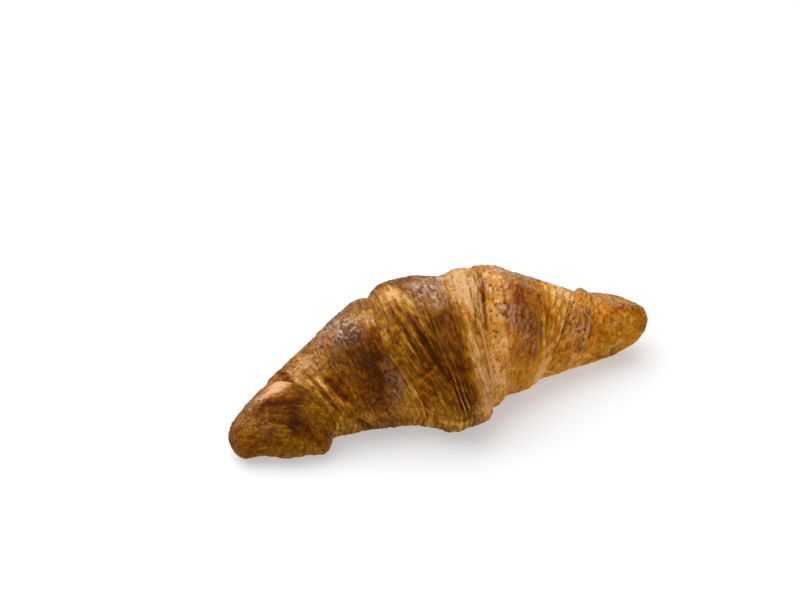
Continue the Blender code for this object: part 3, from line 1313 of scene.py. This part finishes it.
    def build(self) -> bpy.types.Object:
        """Makes the wrap's closed mesh, its attributes and its material, and adds it to the scene.

        The hidden rings and the closing points carry the attributes of the nearest ring that shows.

        Returns:
            The wrap's object.
        """
        angle = np.arange(COLUMNS) * TURN / COLUMNS
        face = self.outer_face(angle)
        near_rings, near_point = self.closing(face.points[0], angle, self.near_side, -1.0)
        far_rings, far_point = self.closing(face.points[-1], angle, self.far_side, 1.0)
        rings = np.concatenate([near_rings[::-1], face.points, far_rings])
        mesh = closed_mesh(self.name, rings, near_point, far_point)
        hidden = ((len(near_rings), len(far_rings)), (0, 0))
        for name, values in face.fields.items():
            padded = np.pad(values, hidden, mode="edge").ravel()
            padded = np.concatenate([padded, [values[0].mean(), values[-1].mean()]])
            mesh.attributes.new(name, "FLOAT", "POINT").data.foreach_set("value", padded.astype(np.float32))
        grain = np.pad(face.grain, (*hidden, (0, 0)), mode="edge").reshape(-1, 3)
        grain = np.concatenate([grain, face.grain[0, :1], face.grain[-1, :1]])
        layer = mesh.attributes.new("grain", "FLOAT_VECTOR", "POINT")
        layer.data.foreach_set("vector", grain.ravel().astype(np.float32))
        mesh.materials.append(self.crust.material(self.name + "_crust"))
        made = bpy.data.objects.new(self.name, mesh)
        bpy.context.scene.collection.objects.link(made)
        return made

    def report(self, piece: bpy.types.Object) -> None:
        """Logs the piece's name, its triangles and the patches and creases listed for it.

        Args:
            piece: The finished wrap.
        """
        triangles = sum(len(face.vertices) - 2 for face in piece.data.polygons)
        placed = ", ".join(item.what for item in (*self.patches, *self.creases))
        LOG.info("%s: %d triangles; %s", piece.name, triangles, placed or "nothing placed by hand")


@dataclass
class NearTip(Wrap):
    """The tight roll of dough at the near tip."""

    name: str = "near_tip_roll"
    near_side: Side = Side.TIP
    far_side: Side = Side.TUCK
    crust: Crust = OLIVE_CRUST
    seed: int = 100
    row_spacing: float = 0.14
    creases: tuple[Crease, ...] = (
        Crease("lower fold of the tip", (-78.5, 222.0), (-70.0, 268.0), 0.9, 0.4, lip=0.3, browning=0.15),)

    def marks(self, angle: np.ndarray) -> list[Mark]:
        """From the tip to the fold, which is deep at the front and fades towards the back.

        Args:
            angle: Angles round the roll.

        Returns:
            The marks in their order along the roll.
        """
        return [
            Mark(np.full_like(angle, -ROLL.half_length), 0.0, 0.78, 0.2),
            Mark(NEAR_TIP_SEAM.at(angle), -FOLD_DEPTH.at(angle), 0.7, 0.1, seam=True),
        ]


@dataclass
class NearWrap(Wrap):
    """The wrap behind the near tip, with a swollen foot at the front."""

    name: str = "near_end_wrap"
    near_side: Side = Side.FOOT
    far_side: Side = Side.TUCK
    crust: Crust = OLIVE_CRUST
    seed: int = 100
    row_spacing: float = 0.14
    edges: SheetEdges = SheetEdges(facing=Facing.NEAR)
    near_lip: Course = Course(0.9, 0.0, 205.0, 30.0, 0.0, 252.0, 28.0)
    crown_rise: Course = Course(1.3, 0.0)
    patches: tuple[Patch, ...] = (
        # Painted highlight on the top: much paler crust with pale film
        Patch("pale top", -60.8, 174.0, 4.4, 14.0, browning=-1.15, film_and_highlight=1.3),
        Patch("tan top", -67.5, 166.0, 5.0, 12.0, browning=-0.2, film_and_highlight=0.8),
        Patch("red-brown shoulder", -68.5, 184.0, 4.0, 7.0, browning=0.4, film_and_highlight=-0.8, flush=1.0),
        Patch("red-brown shoulder farther on", -64.5, 197.0, 4.0, 8.0, browning=0.5, film_and_highlight=-0.6, flush=1.0),
        Patch("red-brown shoulder lower down", -60.5, 210.0, 4.5, 10.0, browning=0.6, film_and_highlight=-0.6,
              flush=1.0),
        # Darker front: partly well-browned crust, partly painted shade in the hollow above the fold
        Patch("dark front", -62.0, 240.0, 3.6, 19.0, browning=1.1, film_and_highlight=-0.4, flush=0.7),
        Patch("orange foot", -53.5, 276.0, 4.0, 16.0, browning=0.05, flush=0.8))
    creases: tuple[Crease, ...] = (
        Crease("fold across the shoulder", (-71.5, 176.0), (-57.5, 222.0), 1.2, 0.35, lip=0.4,
               browning=0.25),
        Crease("fold over the foot", (-62.5, 236.0), (-53.0, 284.0), 1.1, 0.7, lip=0.7, browning=0.25))

    def marks(self, angle: np.ndarray) -> list[Mark]:
        """From the fold over the crown to the near seam.

        Args:
            angle: Angles round the roll.

        Returns:
            The marks in their order along the roll.
        """
        fold = NEAR_TIP_SEAM.at(angle)
        seam = NEAR_SEAM.at(angle)
        return [
            Mark(fold, -FOLD_DEPTH.at(angle), 0.7, 0.1, seam=True),
            Mark(0.45 * fold + 0.55 * seam, self.crown_rise.at(angle), 0.68, 0.0),
            Mark(seam, -NEAR_SEAM_DEPTH.at(angle), 0.6, 0.15, seam=True),
        ]


@dataclass
class LeftWrap(Wrap):
    """The wrap left of the middle: a pale face of sheet edges towards the near tip, then a dark crown."""

    name: str = "left_wrap"
    near_side: Side = Side.FOOT
    far_side: Side = Side.TUCK
    crust: Crust = OLIVE_CRUST
    seed: int = 300
    edges: SheetEdges = SheetEdges(height=0.45, on_crown=0.3, facing=Facing.NEAR)
    near_lip: Course = Course(0.7, foot_share=0.7, foot_start=186.0)
    face_rise: float = 0.6
    crown_rise: float = 1.6
    patches: tuple[Patch, ...] = (
        # Painted highlight on the top of the face: paler crust with pale film
        Patch("pale top of the face", -52.5, 176.0, 6.0, 20.0, browning=-0.3, film_and_highlight=0.7),
        Patch("toasted streaks at the crown's edge", -44.0, 226.0, 2.4, 22.0, browning=0.32, flush=0.8),
        Patch("red edge at the near seam", -57.6, 168.0, 1.2, 26.0, browning=0.75, film_and_highlight=-1.2, flush=1.0),
        Patch("tan top", -33.5, 158.0, 7.5, 14.0, browning=-0.16, film_and_highlight=0.8),
        # Grey film on top: partly lifted film, partly painted sheen of the light from above
        Patch("grey film and painted highlight on top", -31.5, 176.0, 5.0, 11.0, browning=0.36, film_and_highlight=0.9),
        Patch("pale corner", -20.0, 176.0, 4.5, 9.0, browning=-0.4, film_and_highlight=0.6),
        Patch("dark core", -30.0, 214.0, 6.5, 28.0, browning=0.9, film_and_highlight=-0.2, flush=0.5),
        Patch("orange-red patch", -23.5, 194.0, 3.6, 13.0, browning=-0.12, film_and_highlight=-0.3, flush=0.8),
        Patch("grey film at the seam", -25.0, 240.0, 3.4, 24.0, browning=0.24, film_and_highlight=0.45, flush=0.2),
        Patch("straw strip at the table", -23.0, 272.0, 10.0, 13.0, browning=-0.28))
    creases: tuple[Crease, ...] = (
        Crease("loose flake at the table", (-41.0, 268.0), (-32.0, 300.0), 0.8, 1.2, lip=0.9, browning=0.5,
               lip_browning=0.05),
        Crease("golden band down the face", (-51.5, 190.0), (-40.5, 264.0), 1.2, -0.4, browning=-0.35,
               lip_browning=0.0),
        Crease("red-brown band beside it", (-49.0, 194.0), (-39.0, 258.0), 1.1, 0.5, browning=0.38,
               lip_browning=0.0),
        Crease("long streak down the face", (-53.0, 172.0), (-45.5, 262.0), 0.6, 0.7, lip=0.5, browning=0.3,
               lip_browning=-0.15))

    def marks(self, angle: np.ndarray) -> list[Mark]:
        """From the near seam up the pale face and over the dark crown to the left seam.

        Args:
            angle: Angles round the roll.

        Returns:
            The marks in their order along the roll.
        """
        edge = NEAR_CROWN_EDGE.at(angle)
        seam = LEFT_SEAM.at(angle)
        return [
            Mark(NEAR_SEAM.at(angle), -NEAR_SEAM_DEPTH.at(angle), 0.5, 1.0, seam=True),
            Mark(edge, self.face_rise, 0.56, 0.3),
            Mark(0.5 * edge + 0.5 * seam, self.crown_rise, 0.85, 0.0),
            Mark(seam, -LEFT_SEAM_DEPTH.at(angle), 0.45, 0.45, seam=True),
        ]


@dataclass
class MiddleWrap(Wrap):
    """The outermost wrap: sheet edges on both sides and a dark glossy crown between them."""

    name: str = "middle_wrap"
    near_side: Side = Side.FOOT
    far_side: Side = Side.FOOT
    crust: Crust = OLIVE_CRUST
    seed: int = 400
    edges: SheetEdges = SheetEdges(facing=Facing.BOTH)
    near_lip: Course = Course(0.6)
    far_lip: Course = Course(0.5, 0.1, 148.0, 16.0, 0.5, 203.0, 30.0)
    left_rise: Course = Course(1.4, 1.6, 186.0, 34.0)
    right_rise: Course = Course(2.4, 0.6, 176.0, 34.0)
    right_browning: Course = Course(0.4, 1.3, 196.0, 30.0)
    face_rise: float = 2.0
    patches: tuple[Patch, ...] = (
        Patch("golden top of the left face", -12.5, 163.0, 4.5, 18.0, browning=-0.78),
        Patch("golden face beside the streak", -9.5, 183.0, 2.6, 16.0, browning=-0.4),
        Patch("pale top of the right face", 12.5, 160.0, 8.0, 28.0, browning=-0.25, film_and_highlight=0.6),
        # Grey film and blistered top: partly lifted film on the blisters, partly painted highlight of the
        # light from above
        Patch("grey film and painted highlight on top", 0.0, 163.0, 6.0, 12.0, browning=-0.1, film_and_highlight=1.0),
        Patch("blistered top", -1.0, 178.0, 4.5, 10.0, browning=-0.25, film_and_highlight=1.0),
        Patch("red-brown crown", 1.0, 199.0, 4.0, 14.0, browning=0.14, film_and_highlight=-0.4, flush=0.4),
        Patch("upper dark crown", -1.6, 218.0, 3.2, 16.0, browning=0.24, film_and_highlight=-0.3, flush=0.2),
        Patch("dark crown", -3.4, 238.0, 2.6, 26.0, browning=0.3, film_and_highlight=-0.2, flush=0.5),
        Patch("golden right side of the crown", 2.2, 248.0, 3.0, 32.0, browning=-0.26, film_and_highlight=0.1,
              flush=0.3),
        Patch("golden right side of the foot", 2.0, 276.0, 6.0, 13.0, browning=-0.24, film_and_highlight=0.2, flush=0.4),
        Patch("straw foot", -8.0, 289.0, 9.0, 11.0, browning=-0.28),
        Patch("straw face", -14.0, 258.0, 4.5, 22.0, browning=-0.04),
        Patch("dark face", -12.5, 218.0, 4.0, 22.0, browning=0.37),
        Patch("orange strip", 8.5, 206.0, 1.6, 14.0, browning=0.28, flush=1.0),
        Patch("pale top edge of the right face", 13.0, 170.0, 6.0, 18.0, browning=-0.36, pits=0.4),
        Patch("pale right face", 9.0, 210.0, 7.0, 40.0, flush=0.15, pits=0.25))
    creases: tuple[Crease, ...] = (
        Crease("dark streak left of the crown", (-14.5, 172.0), (-9.5, 250.0), 0.9, 1.0, lip=0.7,
               browning=0.45, lip_browning=-0.3),
        Crease("second streak on the face", (-17.5, 178.0), (-14.5, 240.0), 0.7, 0.7, lip=0.6, browning=0.3,
               lip_browning=-0.3),
        Crease("branch towards the seam", (-19.5, 247.0), (-9.5, 226.0), 0.6, 0.55, lip=0.45, browning=0.3,
               lip_browning=-0.2),
        Crease("slit beside the crown", (-9.0, 232.0), (-6.0, 276.0), 0.35, 0.7, lip=0.4, browning=0.5,
               lip_browning=-0.45),
        Crease("second slit", (-7.4, 234.0), (-4.6, 277.0), 0.35, 0.6, lip=0.4, browning=0.5,
               lip_browning=-0.45),
        Crease("third slit", (-5.8, 238.0), (-3.2, 274.0), 0.3, 0.4, lip=0.3, lip_browning=-0.4),
        Crease("curled edge over the foot", (-15.0, 285.0), (-1.0, 277.0), 0.8, 0.2, lip=0.5, browning=0.1,
               lip_browning=-0.15))

    def marks(self, angle: np.ndarray) -> list[Mark]:
        """From the left seam over the two crown edges to the right seam.

        Args:
            angle: Angles round the roll.

        Returns:
            The marks in their order along the roll.
        """
        left = MIDDLE_CROWN_LEFT.at(angle)
        right = MIDDLE_CROWN_RIGHT.at(angle)
        foot = RIGHT_SEAM.at(angle)
        left_rise = self.left_rise.at(angle)
        right_rise = self.right_rise.at(angle)
        return [
            Mark(LEFT_SEAM.at(angle), -LEFT_SEAM_DEPTH.at(angle), 0.62, 1.0, seam=True),
            Mark(left, left_rise, 0.82, 0.6),
            Mark(0.5 * left + 0.5 * right, 0.5 * left_rise + 0.5 * right_rise, 0.78, 0.05),
            Mark(right, right_rise, self.right_browning.at(angle), 0.15),
            Mark(0.6 * right + 0.4 * foot, self.face_rise, 0.2, 0.75),
            Mark(foot, -RIGHT_SEAM_DEPTH.at(angle), 0.15, 1.0, seam=True),
        ]


@dataclass
class RightWrap(Wrap):
    """The wrap right of the middle: a pale strip, a red-brown crown and a golden face of sheet edges."""

    name: str = "right_wrap"
    near_side: Side = Side.TUCK
    far_side: Side = Side.FOOT
    crust: Crust = GOLDEN_CRUST
    seed: int = 500
    far_lip: Course = Course(0.45)
    baking: Baking = Baking(flush=0.08)
    crown_rise: float = 0.9
    edge_rise: float = 1.9
    strip_step: Course = Course(-0.8, -1.1, 222.0, 40.0)
    step_width: float = 4.4
    line_width: float = 1.8
    line_browning: Course = Course(0.95, foot_share=0.3, foot_start=203.0, foot_reach=24.0)
    patches: tuple[Patch, ...] = (
        Patch("brown line beside the middle wrap", 20.0, 180.0, 1.5, 24.0, browning=0.15, film_and_highlight=-2.0,
              flush=0.8),
        Patch("stippled strip at the top", 25.5, 174.0, 3.8, 17.0, browning=-0.08, film_and_highlight=1.6, flush=-1.0,
              pits=0.75),
        Patch("stippled strip", 22.0, 202.0, 3.8, 17.0, film_and_highlight=1.8, flush=-1.0, pits=0.75),
        Patch("stippled strip lower down", 17.5, 228.0, 3.8, 15.0, browning=-0.08, film_and_highlight=0.6, flush=-0.1,
              pits=0.6),
        Patch("golden strip low down", 11.5, 252.0, 4.0, 24.0, browning=-0.48, flush=0.3, pits=0.45),
        Patch("grey-brown top of the crown", 32.5, 172.0, 4.5, 14.0, browning=0.14, film_and_highlight=0.9),
        Patch("red-brown crown", 31.5, 200.0, 5.0, 15.0, browning=0.16, film_and_highlight=-0.1, flush=0.45),
        Patch("grey-brown crown", 28.0, 229.0, 5.5, 26.0, browning=0.42, film_and_highlight=0.4, flush=0.2),
        Patch("golden foot", 25.0, 268.0, 9.0, 20.0, browning=-0.24),
        Patch("pale end of the top", 54.5, 176.0, 3.0, 12.0, browning=-0.3, film_and_highlight=0.6),
        Patch("orange gold face", 41.5, 232.0, 4.5, 34.0, browning=0.2, film_and_highlight=-0.3, flush=0.8))
    creases: tuple[Crease, ...] = (
        Crease("pale ridge down the face", (41.0, 205.0), (31.0, 270.0), 0.6, 0.5, lip=0.7, browning=0.2,
               lip_browning=-0.35),
        Crease("streak beside the strip", (30.0, 172.0), (18.0, 250.0), 0.6, 0.5, lip=0.3, browning=0.25))

    def marks(self, angle: np.ndarray) -> list[Mark]:
        """From the right seam over the crown and its edge down to the far seam.

        Args:
            angle: Angles round the roll.

        Returns:
            The marks in their order along the roll.
        """
        seam = RIGHT_SEAM.at(angle)
        edge = FAR_CROWN_EDGE.at(angle)
        far = FAR_SEAM.at(angle)
        strip = 0.6 * seam + 0.4 * edge
        step = self.step_width / 2.0
        return [
            Mark(seam, -RIGHT_SEAM_DEPTH.at(angle), self.line_browning.at(angle), 0.5, seam=True),
            Mark(seam + self.line_width, 0.35 * (self.crown_rise - self.strip_step.at(angle)), 0.46, 0.2),
            Mark(strip - step, self.crown_rise - self.strip_step.at(angle), 0.38, 0.1),
            Mark(strip + step, self.crown_rise, 0.56, 0.05),
            Mark(0.35 * strip + 0.65 * edge, self.edge_rise, 0.58, 0.05),
            Mark(edge, self.edge_rise - 0.2, 0.5, 0.2),
            Mark(0.7 * edge + 0.3 * far, 0.4 * self.edge_rise, 0.26, 0.8),
            Mark(far, -FAR_SEAM_DEPTH.at(angle), 0.22, 1.0, seam=True),
        ]


@dataclass
class FarWrap(Wrap):
    """The narrow stippled wrap before the far tip."""

    name: str = "far_end_wrap"
    near_side: Side = Side.TUCK
    far_side: Side = Side.FOOT
    crust: Crust = GOLDEN_CRUST
    seed: int = 600
    row_spacing: float = 0.14
    lumps: Lumps = Lumps(height=0.3)
    crown_rise: float = 0.9
    far_lip: Course = Course(0.3)
    patches: tuple[Patch, ...] = (
        Patch("toasted top edge", 62.5, 160.0, 2.5, 11.0, browning=0.35, film_and_highlight=0.3),
        Patch("stippled crown", 53.0, 225.0, 5.5, 40.0, browning=0.25, film_and_highlight=0.9, pits=0.5),
        Patch("shaded foot", 52.0, 289.0, 8.0, 12.0, browning=0.38))

    def marks(self, angle: np.ndarray) -> list[Mark]:
        """From the far seam over the crown to the far tip's seam.

        Args:
            angle: Angles round the roll.

        Returns:
            The marks in their order along the roll.
        """
        seam = FAR_SEAM.at(angle)
        tip_seam = FAR_TIP_SEAM.at(angle)
        return [
            Mark(seam, -FAR_SEAM_DEPTH.at(angle), 0.35, 0.5, seam=True),
            Mark(0.5 * seam + 0.5 * tip_seam, self.crown_rise, 0.45, 0.2),
            Mark(tip_seam, -FAR_TIP_SEAM_DEPTH.at(angle), 0.4, 0.6, seam=True),
        ]


@dataclass
class FarTip(Wrap):
    """The golden tip at the far end."""

    name: str = "far_tip_roll"
    near_side: Side = Side.TUCK
    far_side: Side = Side.TIP
    crust: Crust = GOLDEN_CRUST
    seed: int = 700
    row_spacing: float = 0.16
    baking: Baking = Baking(flush=0.08)
    crown_rise: float = 0.8
    patches: tuple[Patch, ...] = (
        Patch("red-brown top", 73.0, 205.0, 7.0, 9.0, browning=0.28, flush=0.6),
        Patch("orange side", 63.0, 240.0, 5.0, 16.0, browning=0.1, film_and_highlight=-0.3, flush=0.4),
        Patch("grey top", 70.0, 182.0, 9.0, 15.0, browning=-0.04, film_and_highlight=0.9, flush=-0.3),
        Patch("grey film", 67.0, 232.0, 3.0, 8.0, film_and_highlight=0.5),
        Patch("golden side", 69.0, 258.0, 9.0, 16.0, browning=-0.16),
        Patch("shaded underside", 61.0, 290.0, 7.0, 11.0, browning=0.42))

    def marks(self, angle: np.ndarray) -> list[Mark]:
        """From the far tip's seam over a low crown to the tip.

        Args:
            angle: Angles round the roll.

        Returns:
            The marks in their order along the roll.
        """
        seam = FAR_TIP_SEAM.at(angle)
        return [
            Mark(seam, -FAR_TIP_SEAM_DEPTH.at(angle), 0.4, 0.3, seam=True),
            Mark(0.6 * seam + 0.4 * ROLL.half_length, self.crown_rise, 0.48, 0.1),
            Mark(np.full_like(angle, ROLL.half_length), 0.0, 0.55, 0.1),
        ]


@dataclass
class Studio:
    """Pale table, soft studio light and the camera.

    Attributes:
        azimuth: Camera's way round the object, in degrees; 0 looks along +Y.
        elevation: Camera's angle over the table, in degrees.
        distance: From the point that it looks at.
        lens: Focal length, on the sensor's width.
        paper_glow: Emission that keeps the paper as pale as a long exposure does.
        surround: Strength of the light from all round.
        key_power: Radiant power of the overhead light, in watts.
        fill_power: The same for the front light.
    """

    azimuth: float = -26.0
    elevation: float = 38.0
    distance: float = 825.0
    target_height: float = 19.8
    lens: float = 101.43
    sensor: float = 36.0
    shift_x: float = -0.04525
    shift_y: float = 0.06137
    table_size: float = 8000.0
    paper_glow: float = 0.4
    surround: float = 0.5
    key_power: float = 17.5
    fill_power: float = 1.5

    def camera(self) -> None:
        """Adds the camera on the ray from its target and sets it as the scene's own."""
        a, e = math.radians(self.azimuth), math.radians(self.elevation)
        back = np.array([math.sin(a) * math.cos(e), -math.cos(a) * math.cos(e), math.sin(e)])
        right = np.array([math.cos(a), math.sin(a), 0.0])
        up = np.cross(back, right)
        place = np.array([0.0, 0.0, self.target_height]) + back * self.distance
        data = bpy.data.cameras.new("camera")
        data.lens = self.lens
        data.sensor_width = self.sensor
        data.shift_x = self.shift_x
        data.shift_y = self.shift_y
        data.clip_start = 0.01
        camera = bpy.data.objects.new("camera", data)
        matrix = np.eye(4)
        matrix[:3] = np.stack([right, up, back, place * MM], axis=-1)
        camera.matrix_world = Matrix(matrix.tolist())
        bpy.context.scene.collection.objects.link(camera)
        bpy.context.scene.camera = camera

    def table(self) -> None:
        """Adds the table: a square of matt white paper."""
        half = self.table_size / 2.0 * MM
        mesh = bpy.data.meshes.new("table")
        corners = [(-half, -half, 0.0), (half, -half, 0.0), (half, half, 0.0), (-half, half, 0.0)]
        mesh.from_pydata(corners, [], [(0, 1, 2, 3)])
        paper = bpy.data.materials.new("table_paper")
        paper.use_nodes = True
        surface = paper.node_tree.nodes["Principled BSDF"]
        surface.inputs["Base Color"].default_value = linear("#C4C4C3")
        surface.inputs["Emission Color"].default_value = linear("#FBFDFF")
        surface.inputs["Emission Strength"].default_value = self.paper_glow
        surface.inputs["Roughness"].default_value = 0.9
        surface.inputs["Specular IOR Level"].default_value = 0.1
        mesh.materials.append(paper)
        made = bpy.data.objects.new("table", mesh)
        bpy.context.scene.collection.objects.link(made)

    def lamp(self, name: str, place: tuple[float, float, float], size: float, power: float) -> None:
        """Adds a square soft light that faces the object.

        Args:
            name: The light's name.
            place: Where it hangs.
            size: Length of its side.
            power: Radiant power in watts.
        """
        data = bpy.data.lights.new(name, "AREA")
        data.size = size * MM
        data.energy = power
        lamp = bpy.data.objects.new(name, data)
        lamp.location = [p * MM for p in place]
        lamp.rotation_euler = (-lamp.location).to_track_quat("-Z", "Y").to_euler()
        bpy.context.scene.collection.objects.link(lamp)

    def light(self) -> None:
        """Adds the overhead key from behind, a weak front fill and an even pale surround."""
        self.lamp("key", (-260.0, 440.0, 800.0), 1700.0, self.key_power)
        self.lamp("fill", (-700.0, -700.0, 600.0), 700.0, self.fill_power)
        world = bpy.data.worlds.new("surround")
        world.use_nodes = True
        background = world.node_tree.nodes["Background"]
        background.inputs["Color"].default_value = linear("#FCFDFF")
        background.inputs["Strength"].default_value = self.surround
        scene = bpy.context.scene
        scene.world = world
        scene.view_settings.view_transform = "Standard"


def main() -> None:
    """Builds the studio and the wraps from the near tip to the far tip."""
    logging.basicConfig(level=logging.INFO, format="%(name)s %(message)s")
    studio = Studio()
    studio.camera()
    studio.table()
    studio.light()
    wraps = (NearTip(), NearWrap(), LeftWrap(), MiddleWrap(), RightWrap(), FarWrap(), FarTip())
    pieces = [wrap.build() for wrap in wraps]
    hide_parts(CAD_NODE)
    for wrap, piece in zip(wraps, pieces):
        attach(piece, BODY)
        wrap.report(piece)


if __name__ == "__main__":
    main()
